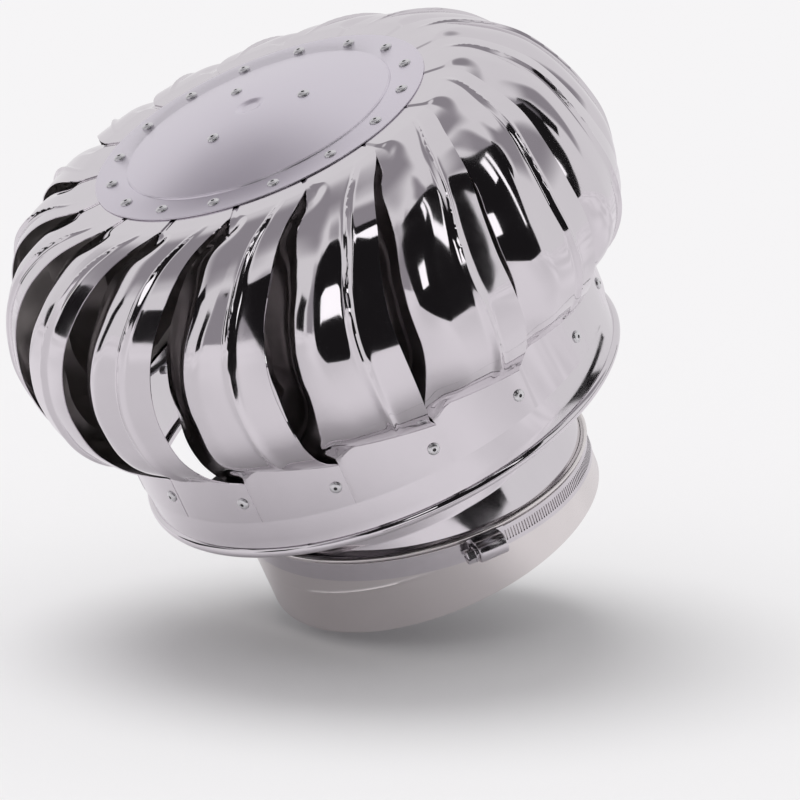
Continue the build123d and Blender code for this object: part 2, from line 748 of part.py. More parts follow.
with BuildPart() as clamp_screw:
    with BuildSketch(side_frame.offset(end_wall + end_play)):
        with Locations((0, worm_height)):
            Circle(worm_radius)
    extrude(amount=housing_length - 2 * end_wall - 2 * end_play)
    with BuildSketch(side_frame.offset(-neck_length)):
        with Locations((0, worm_height)):
            Circle(neck_shank)
    extrude(amount=neck_length + housing_length)
    with BuildSketch(side_frame.offset(-neck_length)):
        with Locations((0, worm_height)):
            RegularPolygon(head_across_flats / 2, 6, major_radius=False)
    extrude(amount=-head_length)
    with BuildSketch(side_frame.offset(-neck_length - head_length)):
        with Locations((0, worm_height)):
            Rectangle(head_slot, 2 * head_across_flats)
    extrude(amount=head_slot, mode=Mode.SUBTRACT)
save(clamp_screw.part, "clamp_screw")
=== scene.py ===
# %% [markdown]
# # A roof turbine ventilator
# Sixteen blades of thin polished steel stand in a ring round a spindle. Wind turns them, and
# the turning globe draws air up through the throat. This lesson dresses the bare solids of
# the part: every blade, rim and rivet that catches the light gets a smooth surface of its own,
# worked out with numpy, and the pieces inside keep their solids and get a finish.
# Everything is in metres, and Z is the spindle.

# %% Frame and sizes
import math

import bmesh
import bpy
import numpy as np
from mathutils import Matrix


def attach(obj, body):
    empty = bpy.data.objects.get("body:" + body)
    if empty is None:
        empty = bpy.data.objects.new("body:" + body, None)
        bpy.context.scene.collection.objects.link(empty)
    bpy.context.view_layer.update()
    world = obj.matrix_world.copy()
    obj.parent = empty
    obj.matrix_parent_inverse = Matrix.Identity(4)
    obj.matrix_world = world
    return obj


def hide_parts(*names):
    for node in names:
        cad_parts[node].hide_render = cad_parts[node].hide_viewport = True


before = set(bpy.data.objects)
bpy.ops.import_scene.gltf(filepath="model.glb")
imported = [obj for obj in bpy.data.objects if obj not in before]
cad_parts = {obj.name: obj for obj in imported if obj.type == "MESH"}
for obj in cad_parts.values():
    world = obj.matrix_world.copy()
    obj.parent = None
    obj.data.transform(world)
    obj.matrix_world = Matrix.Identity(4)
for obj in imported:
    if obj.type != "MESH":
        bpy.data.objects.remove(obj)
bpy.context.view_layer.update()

MM = 0.001
BLADES = 16
PITCH = 360 / BLADES
SHEET = 0.6


# %% [markdown]
# ## Surfaces from arrays
# A pressed or spun piece of sheet is one surface with a little thickness. It could be a plane
# with a Solidify modifier, but the laps and folds here are measured in tenths of a millimetre,
# so both sides of the sheet are worked out directly and closed round the edge.

# %% Helpers that put arrays into meshes
def make_piece(name, points, faces, body, nodes=(), sharp=32):
    """A mesh object from an array of points in millimetres and a list of face index arrays."""
    mesh = bpy.data.meshes.new(name)
    corners = [face.tolist() for group in faces for face in group]
    mesh.from_pydata((np.asarray(points) * MM).tolist(), [], corners)
    shell = bmesh.new()
    shell.from_mesh(mesh)
    bmesh.ops.recalc_face_normals(shell, faces=shell.faces)
    shell.to_mesh(mesh)
    shell.free()
    mesh.polygons.foreach_set("use_smooth", np.ones(len(mesh.polygons), dtype=bool))
    mesh.set_sharp_from_angle(angle=math.radians(sharp))
    piece = bpy.data.objects.new(name, mesh)
    bpy.context.scene.collection.objects.link(piece)
    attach(piece, body)
    if nodes:
        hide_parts(*nodes)
    return piece


def grid_faces(rows, columns, start=0, wrap_rows=False, wrap_columns=False, flip=False):
    """Quads of a grid of points, row by row; a wrapped side joins the last line to the first."""
    last_row = rows if wrap_rows else rows - 1
    last_column = columns if wrap_columns else columns - 1
    r, c = np.meshgrid(np.arange(last_row), np.arange(last_column), indexing="ij")
    r2, c2 = (r + 1) % rows, (c + 1) % columns
    quads = np.stack([r * columns + c, r * columns + c2, r2 * columns + c2, r2 * columns + c], -1)
    quads = quads.reshape(-1, 4) + start
    return quads[:, ::-1] if flip else quads


def turned(profile, segments=160):
    """A closed profile of (radius, height) points turned once about Z.

    Point (i, j) is profile point i at the angle of segment j. A profile point on the axis
    becomes one pole, which closes the surface with a fan of triangles.
    """
    profile = np.asarray(profile, float)
    angle = np.arange(segments) * 2 * np.pi / segments
    poles = profile[profile[:, 0] < 1e-9]
    rings = profile[profile[:, 0] >= 1e-9]
    points = np.stack([
        rings[:, None, 0] * np.cos(angle),
        rings[:, None, 0] * np.sin(angle),
        np.repeat(rings[:, None, 1], segments, axis=1),
    ], -1).reshape(-1, 3)
    faces = [grid_faces(len(rings), segments, wrap_rows=len(poles) == 0, wrap_columns=True)]
    here = np.arange(segments)
    after = (here + 1) % segments
    for pole, row in zip(poles, (0, len(rings) - 1)):
        centre = np.full(segments, len(points))
        ring = [row * segments + here, row * segments + after]
        faces.append(np.stack([centre, ring[1], ring[0]] if row == 0 else [centre, *ring], -1))
        points = np.vstack([points, [0, 0, pole[1]]])
    return points, faces


def closed_sheet(outer, inner):
    """Both sides of a sheet, two grids of the same shape, joined round their four edges."""
    rows, columns = outer.shape[:2]
    points = np.concatenate([outer.reshape(-1, 3), inner.reshape(-1, 3)])
    index = np.arange(rows * columns).reshape(rows, columns)
    rim = np.concatenate([index[0, :-1], index[:-1, -1], index[-1, :0:-1], index[:0:-1, 0]])
    back = rim + rows * columns
    edge = np.stack([rim, np.roll(rim, -1), np.roll(back, -1), back], -1)
    faces = [grid_faces(rows, columns, flip=True), grid_faces(rows, columns, rows * columns), edge]
    return points, faces


def arc(centre, radius, start, end, steps):
    """Points of a circular arc in a profile, from one angle to another, in degrees."""
    angle = np.radians(np.linspace(start, end, steps))
    return np.stack([centre[0] + radius * np.cos(angle), centre[1] + radius * np.sin(angle)], -1)


def ease(x):
    """Nothing below 0, all above 1, and a smooth S between: 3 x squared less 2 x cubed."""
    x = np.clip(x, 0, 1)
    return x * x * (3 - 2 * x)


print("an arc of", len(arc((0, 0), 1, 0, 90, 5)), "points; ease at a half is", float(ease(0.5)))


# %% [markdown]
# ## The blades
# A blade is cut from flat strip. Its upper end stays flat and is riveted under the cap. A notch
# frees one long edge, and from there the strip bends down the outside of the globe while its
# other edge is rolled inward, behind the next blade. A press leaves one rib down the middle,
# and a fold over the ring turns the lower end into an upright tab. Subdividing a rough cage
# would round off the folds, so the strip is one function of two numbers: how far down the
# blade, and how far across.

# %% The strip's course down the globe
CAP_UNDERSIDE = 298.2
COURSE = np.array([
    # radius, height, free edge's angle, depth of the rolled edge, rib height, flat part, span
    (86.5, CAP_UNDERSIDE, 18.5, 0.68, 0.0, 20.0, 23.6),
    (115.0, CAP_UNDERSIDE, 18.5, 0.68, 0.0, 20.0, 23.6),
    (124.0, 298.1, 17.2, 2.6, 0.38, 16.0, 23.8),
    (134.5, 296.7, 13.6, 5.6, 1.33, 13.0, 24.0),
    (146.0, 292.4, 9.4, 9.0, 2.09, 11.5, 24.5),
    (158.0, 285.4, 6.2, 14.0, 2.47, 10.5, 24.5),
    (170.0, 274.8, 3.4, 19.0, 2.47, 10.5, 24.5),
    (181.5, 257.4, 0.2, 23.0, 2.28, 11.5, 24.5),
    (190.0, 236.0, -1.8, 26.0, 2.28, 12.5, 24.5),
    (194.2, 213.0, -2.3, 26.0, 2.28, 12.5, 24.5),
    (191.0, 188.5, -2.2, 20.0, 2.28, 12.5, 24.5),
    (180.5, 168.5, -1.9, 11.0, 1.9, 13.0, 24.5),
    (167.5, 154.6, -1.5, 4.0, 0.95, 16.0, 25.0),
    (158.0, 146.6, -0.3, 1.0, 0.19, 19.5, 26.6),
])
print("the free edge swings through", COURSE[0, 2] - COURSE[:, 2].min(), "degrees")


def along_course(t):
    """The course at t rows from its start, on cubics that take each row's slope from its neighbours."""
    rows = len(COURSE)
    chord = np.diff(COURSE, axis=0)
    slope = np.vstack([chord[:1], (chord[1:] + chord[:-1]) / 2, chord[-1:]])
    flat = (chord[1:] * chord[:-1]) <= 0
    slope[1:-1][flat] = 0
    i = np.clip(t.astype(int), 0, rows - 2)
    x = (t - i)[:, None]
    h = 2 * x**3 - 3 * x**2 + 1
    return (h * COURSE[i] + (1 - h) * COURSE[i + 1]
            + (x**3 - 2 * x**2 + x) * slope[i] + (x**3 - x**2) * slope[i + 1])


# %% [markdown]
# The course alone would make a plain ribbon. Across it, each blade is flat for about half its
# width and then rolls inward. Displacing a plane with modifiers could give the roll, but not
# the lap under the next blade. The fold over the ring climbs towards the tucked edge, as it does
# when a flat strip is bent over a round rim.

# %% One blade as a function of two numbers
COURSE_ROWS = 150
TAB_ROWS = 10
COLUMNS = 61
TAB_RADIUS = 156.7
TAB_TOP = 145.2
TAB_BOTTOM = 118.0
RIVET_ANGLE = 254.17 - 2 * PITCH
TAB_CORNER = 2.6            # degrees from a rivet to the free edge of its tab
TAB_SPAN = PITCH + TAB_CORNER + 2.2
TAB_LAP = SHEET + 0.12      # how far the tucked side of a tab steps in under its neighbour
FLAT_SHARE = 0.62           # of the columns, those that lie on the flat part
RIB_OFFSET = 6.6
RIB_WIDTH = 1.5
FULL_ROLL = 8               # deeper than this, the roll is a quarter of a cosine; shallower, a step
FOLD_HEIGHT = 146
CREASE_LEAN = 10.5          # how much higher the fold over the ring is towards the tucked edge
LEAN_ABOVE = 34             # the lean fades out over this height above the fold
LEAN_BELOW = 10             # and over this height down the tab
LEAN_ENDS = 134.5           # so that the tab is level again round its rivet
SWAY = 0.35                 # hand-bent edges differ a little from blade to blade


def blade_rows():
    """The rows down a blade: the course, then the upright tab under the fold."""
    belly = along_course(np.linspace(0, len(COURSE) - 1, COURSE_ROWS))
    tab = np.tile([TAB_RADIUS, 0, 0, TAB_LAP, 0, PITCH - 1.2, TAB_SPAN], (TAB_ROWS, 1))
    tab[:, 1] = np.linspace(TAB_TOP, TAB_BOTTOM, TAB_ROWS)
    return np.vstack([belly, tab])


def blade_sheet(number):
    """The outer and inner side of one blade.

    A point lies on the globe's outline at its row, turned by the free edge's angle less its
    offset across. Past the flat part it sinks inward, square to the outline, by the rolled
    edge's depth times one less the cosine of a quarter turn, and the rib lifts it by a
    bell curve round its own offset.
    """
    rows = blade_rows()
    radius, height, edge, depth, rib, flat, span = [column[:, None] for column in rows.T]
    across = np.linspace(0, 1, COLUMNS)[None, :]
    past = (across - FLAT_SHARE) / (1 - FLAT_SHARE)
    offset = np.where(past < 0, across / FLAT_SHARE * flat, flat + past * (span - flat))
    rolled = np.clip((offset - flat) / (span - flat), 0, 1)
    steep = ease(depth / FULL_ROLL)
    sink = depth * (steep * (1 - np.cos(rolled * np.pi / 2)) ** 0.9 + (1 - steep) * ease(rolled * 2.2))
    lift = rib * np.exp(-((offset - RIB_OFFSET) / (RIB_WIDTH / 2)) ** 2)
    slope = np.gradient(rows[:, :2], axis=0)
    slope /= np.linalg.norm(slope, axis=1, keepdims=True)
    out_radius, out_height = -slope[:, 1:2], slope[:, 0:1]
    tucked = offset / PITCH
    lean = CREASE_LEAN * tucked * (1 - 0.75 * ease(tucked * 4 - 3.1))
    above = 1 - ease((height - FOLD_HEIGHT) / LEAN_ABOVE)
    below = ease((height - LEAN_ENDS) / LEAN_BELOW)
    height = height + lean * np.where(height > FOLD_HEIGHT - 0.5, above, below)
    sway = SWAY * np.sin(number * 2.4 + height / 17) * ease(depth / 10)
    shift = lift - sink + sway * ease(1 - offset / 8)
    angle = np.radians(RIVET_ANGLE + TAB_CORNER + number * PITCH + edge - offset)
    reach = radius + shift * out_radius
    rise = height + shift * out_height
    outer = np.stack([reach * np.cos(angle), reach * np.sin(angle), rise], -1)
    down = np.gradient(outer, axis=0)
    over = np.gradient(outer, axis=1)
    normal = np.cross(down, over)
    normal /= np.linalg.norm(normal, axis=-1, keepdims=True)
    return outer, outer + normal * SHEET


blades = []
for number in range(BLADES):
    outer, inner = blade_sheet(number)
    points, faces = closed_sheet(outer, inner)
    blades.append(make_piece(f"blade_sheet_{number + 1:02d}", points, faces, "rotor",
                             [f"blade_{number + 1:02d}"], sharp=28))
OUTER_CELLS = (outer.shape[0] - 1) * (outer.shape[1] - 1)
reach = [round(float(np.linalg.norm(side[..., :2], axis=-1).max()), 1) for side in (outer, inner)]
print("a blade's outer and inner side reach", reach, "mm from the axis")


# %% [markdown]
# ## The cap
# The cap is one disc, spun over a former: a flat rim for the rivets, a small upright step, and
# a shallow dome with a thumb-wide dimple where the lathe's centre held it. A profile turned
# about the spindle is the same motion as the spinning, so that is how it is drawn.

# %% Cap profile
CAP_TOP = 299.2
CAP_RADIUS = 106
DOME_RADIUS = 85
DOME_HEIGHT = 13.2
DOME_STEP = 1.2
DOME_RISE = DOME_HEIGHT - DOME_STEP
DOME_SPHERE = (DOME_RADIUS**2 + DOME_RISE**2) / (2 * DOME_RISE)
DIMPLE_RADIUS = 10
DIMPLE_DEPTH = 1.5


def dome_height(radius):
    """The dome's sphere less the dimple: a circle's arc from the step to the middle."""
    dimple = DIMPLE_DEPTH * (1 - ease((radius / DIMPLE_RADIUS - 0.45) / 0.55))
    return CAP_TOP + DOME_HEIGHT - DOME_SPHERE + np.sqrt(DOME_SPHERE**2 - radius**2) - dimple


def cap_profile():
    """Upper side from the rim to the middle, then the lower side back out."""
    dome = np.concatenate([[0], np.linspace(1.5, 14, 16), np.linspace(17, 84.2, 30)])
    upper = np.stack([dome, dome_height(dome)], -1)
    step = arc((DOME_RADIUS - 0.8, CAP_TOP + DOME_STEP - 0.75), 0.8, 85, 0, 5)
    foot = np.array([(DOME_RADIUS + 0.1, CAP_TOP + 0.25), (DOME_RADIUS + 0.5, CAP_TOP)])
    rim = arc((CAP_RADIUS - 0.5, CAP_TOP - 0.5), 0.5, 90, -90, 8)
    under = np.array([(DOME_RADIUS - 1, CAP_TOP - 1)])
    inner = upper[::-1][2:] - (0, 1)
    return np.concatenate([upper, step, foot, rim, under, inner])


points, faces = turned(cap_profile(), 240)
cap = make_piece("cap_sheet", points, faces, "rotor", ["top_cap"], sharp=35)
print("the dimple's bottom is", round(float(dome_height(0.0) - CAP_TOP), 2), "mm over the rim")


# %% [markdown]
# ## Rivets
# Blind rivets hold the sheets. Each has a low domed head with the broken end of its pulling
# pin in the middle, and a short tail behind the sheets. A primitive would give a bare
# ball, so the head is a turned profile, and its pin's place is kept as an attribute for the finish.

# %% One rivet, set down wherever a sheet is joined
HEAD_RADIUS = 3.8
HEAD_HEIGHT = 1.7
SHANK_RADIUS = 1.95
PIN_RADIUS = 1.05
TAIL = 3


def rivet_profile(grip):
    """From the pin's centre over the dome to the shank, then the tail's end on the axis."""
    pin = np.array([(0, HEAD_HEIGHT - 0.35), (PIN_RADIUS * 0.85, HEAD_HEIGHT - 0.35),
                    (PIN_RADIUS, HEAD_HEIGHT - 0.55), (PIN_RADIUS + 0.05, HEAD_HEIGHT - 0.02)])
    angle = np.linspace(0.18, 1, 8) * np.pi / 2
    dome = np.stack([PIN_RADIUS + (HEAD_RADIUS - PIN_RADIUS) * np.sin(angle),
                     0.25 + (HEAD_HEIGHT - 0.25) * np.cos(angle)], -1)
    rest = np.array([(HEAD_RADIUS, 0.02), (SHANK_RADIUS, 0.02), (SHANK_RADIUS, -grip),
                     (SHANK_RADIUS + 0.7, -grip - 0.6), (SHANK_RADIUS + 0.5, -grip - TAIL + 0.4),
                     (0, -grip - TAIL)])
    return np.concatenate([pin, dome, rest])


def frame_at(angle, radius, height, tilt):
    """A rivet's own x, y and z and its place. Its z leans outward by the tilt, in degrees."""
    a, t = np.radians(angle), np.radians(tilt)
    out = np.array([np.cos(a), np.sin(a), 0])
    along = np.array([-np.sin(a), np.cos(a), 0])
    normal = out * np.sin(t) + np.array([0, 0, 1]) * np.cos(t)
    return along, np.cross(normal, along), normal, out * radius + np.array([0, 0, height])


def make_rivets(name, places, grip, body, node):
    """All the rivets of one group in one mesh, each spun by its own amount."""
    points, faces = turned(rivet_profile(grip), 28)
    every, groups, pin = [], [], []
    for number, place in enumerate(places):
        spin = number * 1.7
        x, y, z, origin = place
        local = points @ np.array(Matrix.Rotation(-spin, 3, "Z"))
        groups += [group + len(every) * len(points) for group in faces]
        every.append(origin + local[:, :1] * x + local[:, 1:2] * y + local[:, 2:] * z)
        pin.append((np.hypot(points[:, 0], points[:, 1]) < PIN_RADIUS + 0.02) & (points[:, 2] > 0))
    piece = make_piece(name, np.concatenate(every), groups, body, [node], sharp=50)
    mark = piece.data.attributes.new("pin", "FLOAT", "POINT")
    mark.data.foreach_set("value", np.concatenate(pin).astype(np.float32))
    print(name, len(places), "rivets")
    return piece


# %% [markdown]
# Sixteen rivets hold the cap, three the upper bearing's housing, sixteen the tabs and three the
# bracket in the throat. An Array modifier would place them too, but their angles must match
# the holes in the solids, so each group is a list of places. Every fourth rivet of the ring
# also takes an arm of the spider, and has a longer grip.

# %% Every rivet of the rotor and the throat
CAP_CIRCLE = 95
CAP_RIVET_ANGLE = 64.41
HUB_CIRCLE = 34.6
HUB_RIVET_ANGLE = 97.28
RING_RIVET_HEIGHT = 132.2
NECK_RADIUS = 104
BRACKET_RIVET_HEIGHT = 77
around = RIVET_ANGLE + PITCH * np.arange(BLADES)
hub_tilt = math.degrees(math.asin(HUB_CIRCLE / DOME_SPHERE))
hub_height = float(dome_height(HUB_CIRCLE))
cap_places = [frame_at(CAP_RIVET_ANGLE + PITCH * n, CAP_CIRCLE, CAP_TOP, 0) for n in range(BLADES)]
hub_places = [frame_at(HUB_RIVET_ANGLE + 120 * n, HUB_CIRCLE, hub_height, hub_tilt) for n in range(3)]
tab_places = [frame_at(a, TAB_RADIUS, RING_RIVET_HEIGHT, 90) for a in around]
ring_places = [place for n, place in enumerate(tab_places) if n % 4]
throat_places = [frame_at(a, NECK_RADIUS, BRACKET_RIVET_HEIGHT, 90) for a in (90, 210, 330)]
rivets = [
    make_rivets("cap_rivet_heads", cap_places, 1.8, "rotor", "cap_rivets"),
    make_rivets("hub_rivet_heads", hub_places, 3.2, "rotor", "hub_rivets"),
    make_rivets("ring_rivet_heads", ring_places, 2.5, "rotor", "ring_rivets"),
    make_rivets("arm_rivet_heads", tab_places[::4], 4.6, "rotor", "arm_rivets"),
    make_rivets("throat_rivet_heads", throat_places, 3.7, "base", "bracket_rivets"),
]


# %% [markdown]
# ## The rotor's ring and the throat
# The ring that gathers the blades ends below in a rolled bead, which stiffens it and keeps rain
# out of the joint. The throat inside it has a hem above and a flare below, where it
# slips into the collar. Both are turned profiles; the bead is a full round, not a bevel.

# %% Ring and throat profiles
RING_RADIUS = 154.92
RING_TOP = 143
RING_BOTTOM = 92
RING_BEAD = 3.4
FLARE_RADIUS = 110.3
RING_SHEET = 1
BEAD_HEIGHT = RING_BOTTOM + RING_BEAD
bead = arc((RING_RADIUS, BEAD_HEIGHT), RING_BEAD, 78, -258, 34)
ring_lip = arc((RING_RADIUS - RING_SHEET / 2, RING_TOP - RING_SHEET / 2), RING_SHEET / 2, 180, 0, 7)
wall_foot = [(RING_RADIUS, BEAD_HEIGHT + 8)]
ring_profile = np.concatenate([ring_lip, wall_foot, bead, np.array(wall_foot) - (RING_SHEET, 0)])
points, faces = turned(ring_profile, 300)
ring = make_piece("ring_sheet", points, faces, "rotor", ["rotor_ring"], sharp=60)

HEM_RADIUS = 1.6
hem = arc((NECK_RADIUS - 0.5, 110), HEM_RADIUS, 200, -20, 20)
neck_outside = [(NECK_RADIUS, 108), (NECK_RADIUS, 84), (NECK_RADIUS, 58.5), (NECK_RADIUS + 0.35, 57),
                (FLARE_RADIUS - 0.35, 40.5), (FLARE_RADIUS, 38.5), (FLARE_RADIUS, 14.3),
                (FLARE_RADIUS - 0.5, 14)]
neck_inside = [(FLARE_RADIUS - 1, 14.3), (FLARE_RADIUS - 1, 38.5), (FLARE_RADIUS - 1.35, 40.5),
               (NECK_RADIUS - 0.65, 57), (NECK_RADIUS - 1, 58.5), (NECK_RADIUS - 1, 108)]
throat_profile = np.concatenate([hem, neck_outside, neck_inside])
points, faces = turned(throat_profile, 240)
throat = make_piece("throat_sheet", points, faces, "base", ["throat"], sharp=40)
print("ring", len(ring_profile), "and throat", len(throat_profile), "points in profile")


# %% [markdown]
# ## The collar
# The collar's upper rim is cut on a slant, so one profile turned round will not do. Each
# column of the grid stretches the profile to the rim's height at its own angle, as a
# sheet-metal worker marks a slanted cut on the flat. A faint swage fades out round the side.

# %% Collar with a slanted rim
COLLAR_RADIUS = 111.5
RIM_HEIGHT = 48.5
RIM_SLANT = math.radians(8.2)
RIM_LIP = 2.4
RIM_LIP_HEIGHT = 3.0
SWAGE_HEIGHT = 31.5
SWAGE_DEPTH = 0.7
SWAGE_MIDDLE = 236
SWAGE_REACH = 26


def rim_drop(angle, radius):
    """How far the slanted rim lies below its height on the axis."""
    return radius * np.cos(angle) * math.tan(RIM_SLANT)


def make_collar(segments=240):
    """Radii fixed, heights measured from the floor below the clamp and from the rim above it."""
    r = COLLAR_RADIUS
    lip = arc((r + RIM_LIP - 1.1, -RIM_LIP_HEIGHT / 2), 1.5, -90, 90, 9)
    low = np.array([(r - 1, 0.3), (r - 0.5, 0), (r, 0.3), *[(r, z) for z in np.linspace(3, 33.5, 34)]])
    high = np.array([(r, -7), (r, -3.6), (r + 0.4, -3.05), *lip, (r, 0), (r - 0.9, -0.1), (r - 1, -0.6)])
    angle = np.arange(segments) * 2 * np.pi / segments
    swing = (np.degrees(angle) - SWAGE_MIDDLE + 180) % 360 - 180
    fade = np.exp(-(swing / SWAGE_REACH) ** 4)
    radius = np.concatenate([low[:, 0], high[:, 0]])[:, None] + 0 * angle
    low_z = low[:, 1:] + 0 * angle
    swage = SWAGE_DEPTH * fade * np.exp(-((low_z - SWAGE_HEIGHT) / 0.9) ** 2)
    radius[:len(low)] += swage * (low[:, :1] > r - 0.2)
    drop = rim_drop(angle, COLLAR_RADIUS)
    squeeze = np.minimum(1, (RIM_HEIGHT - drop - 8) / 33.5)
    height = np.concatenate([low_z * np.where(low_z > 1, squeeze, 1), high[:, 1:] + RIM_HEIGHT - drop])
    points = np.stack([radius * np.cos(angle), radius * np.sin(angle), height], -1).reshape(-1, 3)
    return points, [grid_faces(len(radius), segments, wrap_rows=True, wrap_columns=True, flip=True)]


points, faces = make_collar()
collar = make_piece("collar_sheet", points, faces, "base", ["collar"], sharp=40)
print("the rim stands from", round(float(points[:, 2].max()), 1), "mm down to",
      round(RIM_HEIGHT - COLLAR_RADIUS * math.tan(RIM_SLANT), 1), "mm")


# %% [markdown]
# ## The worm clamp
# A worm clamp is a band with slots that a screw drives like a rack. The slots are punched,
# so they are real holes here: each cell of the band's grid that is a slot loses its two
# faces and gets four walls. They lean a little, to match the worm's thread.

# %% Band with punched slots
BAND_INSIDE = COLLAR_RADIUS + 0.1
BAND_OUTSIDE = BAND_INSIDE + 0.7
BAND_WIDTH = 12.7
BAND_HEIGHT = RIM_HEIGHT - 11
SLOT_PITCH = 2.12
SLOT_WIDTH = 0.95
SLOT_LENGTH = 7
SLOT_LEAN = 0.55
SLOTS_FROM = 289.5
SLOTS_TO = 397
slot_step = SLOT_PITCH / BAND_OUTSIDE
slot_count = int(np.radians(SLOTS_TO - SLOTS_FROM) / slot_step)
starts = np.radians(SLOTS_FROM) + slot_step * np.arange(slot_count)
slot_edges = np.stack([starts, starts + SLOT_WIDTH / BAND_OUTSIDE], -1).ravel()
plain = np.linspace(slot_edges[-1], slot_edges[0] + 2 * np.pi, 180)[1:-1]
column_angle = np.concatenate([slot_edges, plain])
levels = np.array([-BAND_WIDTH / 2, -BAND_WIDTH / 2 + 0.3, -SLOT_LENGTH / 2, SLOT_LENGTH / 2,
                   BAND_WIDTH / 2 - 0.3, BAND_WIDTH / 2])
is_slot = np.arange(len(column_angle)) < 2 * slot_count


def band_points(radius):
    """One side of the band: level rows along the slanted middle line, leaning in the slots."""
    lean = np.where(is_slot, SLOT_LEAN, 0) * levels[:, None] / SLOT_LENGTH / BAND_OUTSIDE
    angle = column_angle + np.where(np.abs(levels[:, None]) < 4, lean, 0)
    height = BAND_HEIGHT + levels[:, None] - rim_drop(angle, radius)
    return np.stack([radius * np.cos(angle), radius * np.sin(angle), height], -1)


rows, columns = len(levels), len(column_angle)
outer = band_points(BAND_OUTSIDE)
inner = band_points(BAND_INSIDE)
index = np.arange(rows * columns).reshape(rows, columns)
inside = index + rows * columns
cells = grid_faces(rows, columns, wrap_columns=True)
cell_row, cell_column = np.divmod(np.arange(len(cells)), columns)
punched = (cell_row == 2) & (cell_column % 2 == 0) & (cell_column < 2 * slot_count)
kept = cells[~punched]
holes = cells[punched]
walls = [np.stack([holes[:, (k + 1) % 4], holes[:, k],
                   holes[:, k] + rows * columns, holes[:, (k + 1) % 4] + rows * columns], -1)
         for k in range(4)]
here = np.arange(columns)
after = (here + 1) % columns
top_edge = np.stack([index[-1, here], index[-1, after], inside[-1, after], inside[-1, here]], -1)
low_edge = np.stack([index[0, after], index[0, here], inside[0, here], inside[0, after]], -1)
band = make_piece("band_slotted", np.concatenate([outer.reshape(-1, 3), inner.reshape(-1, 3)]),
                  [kept, kept[:, ::-1] + rows * columns, top_edge, low_edge, *walls],
                  "base", ["clamp_band"], sharp=40)
print(slot_count, "slots of", SLOT_WIDTH, "by", SLOT_LENGTH, "mm")


# %% [markdown]
# The housing is a strip of sheet pressed into a hump over the worm, on a flat saddle that hugs
# the band. The screw has a hexagon head with a slot for a screwdriver. Both are made of sections
# carried along the screw's own line, with a few stations at the ends that draw them in, which
# gives the small rounded edges that a Bevel modifier would give to a block.

# %% Screw housing
SCREW_POINT = np.array([26.511, -115.753, 33.887])
SCREW_ALONG = np.array([0.965285, 0.22108, -0.1391])
SCREW_ALONG = SCREW_ALONG / np.linalg.norm(SCREW_ALONG)
HOUSING_ANGLE = math.radians(282.9)
SCREW_OUT = np.array([math.cos(HOUSING_ANGLE), math.sin(HOUSING_ANGLE), 0])
SCREW_ACROSS = np.cross(SCREW_OUT, SCREW_ALONG)
WORM_HEIGHT = 6.4
HOUSING_LENGTH = 19
HOUSING_WIDTH = 13
HUMP_MIDDLE = 6.1
HUMP_RADIUS = 6.4
FOOT_ROUND = 0.5
SADDLE_LENGTH = 25
SADDLE_WIDTH = 15.5
SADDLE_THICKNESS = 0.8
CORNER = 1.1


def along_screw(section, stations):
    """A section of (across, out) points carried along the screw, shrunk towards its middle by each station.

    A station is (place along the screw, how far the section draws in). Both ends are closed.
    """
    middle = section.mean(0)
    way = section - middle
    size = np.linalg.norm(way, axis=1, keepdims=True)
    slices = []
    for place, draw in stations:
        flat = middle + way * (1 - draw / size)
        slices.append(SCREW_POINT + place * SCREW_ALONG
                      + flat[:, :1] * SCREW_ACROSS + (flat[:, 1:] - WORM_HEIGHT) * SCREW_OUT)
    points = np.concatenate(slices)
    count = len(section)
    ends = [np.arange(count)[None, ::-1], np.arange(count)[None, :] + count * (len(stations) - 1)]
    return points, [grid_faces(len(stations), count, wrap_columns=True, flip=True), *ends]


def joined(*parts):
    """Several closed bodies of points and faces in one."""
    points, faces, start = [], [], 0
    for some_points, some_faces in parts:
        points.append(some_points)
        faces += [group + start for group in some_faces]
        start += len(some_points)
    return np.concatenate(points), faces


half = HOUSING_LENGTH / 2
crown = arc((0, HUMP_MIDDLE), HUMP_RADIUS, 0, 180, 25)
crown[:, 0] *= HOUSING_WIDTH / 2 / HUMP_RADIUS
foot_middle = HOUSING_WIDTH / 2 - FOOT_ROUND
feet = np.concatenate([arc((-foot_middle, FOOT_ROUND + 0.05), FOOT_ROUND, 180, 270, 4),
                       arc((foot_middle, FOOT_ROUND + 0.05), FOOT_ROUND, 270, 360, 4)])
rounding = [(-half, CORNER), (-half + 0.2, CORNER * 0.5), (-half + 0.55, CORNER * 0.18), (-half + CORNER, 0)]
hump = along_screw(np.concatenate([crown, feet]), rounding + [(-p, d) for p, d in rounding[::-1]])
saddle_half = np.array([(SADDLE_WIDTH / 2, 0.05), (SADDLE_WIDTH / 2, SADDLE_THICKNESS),
                        (HOUSING_WIDTH / 2, SADDLE_THICKNESS + 0.1)])
saddle_edge = np.concatenate([saddle_half, saddle_half[::-1] * (-1, 1)])
saddle = along_screw(saddle_edge, [(-SADDLE_LENGTH / 2, 0.3), (-SADDLE_LENGTH / 2 + 0.4, 0),
                                   (SADDLE_LENGTH / 2 - 0.4, 0), (SADDLE_LENGTH / 2, 0.3)])
points, faces = joined(hump, saddle)
housing = make_piece("screw_housing", points, faces, "base", ["clamp_housing"], sharp=45)
print("housing is", HOUSING_LENGTH, "mm long and", HUMP_MIDDLE + HUMP_RADIUS, "mm high on the band")


# %% [markdown]
# The slot in the head could be a Boolean cut. Two separate jaws on a hexagon block leave the same
# slot with clean edges and no leftover slivers.

# %% Slotted screw
HEX_ACROSS = 8
NECK = 1.4
HEAD = 6
SLOT = 1.2
WASHER = 4.9
SHANK = 2.95
hexagon = arc((0, 0), HEX_ACROSS / math.sqrt(3), 90, -210, 6)


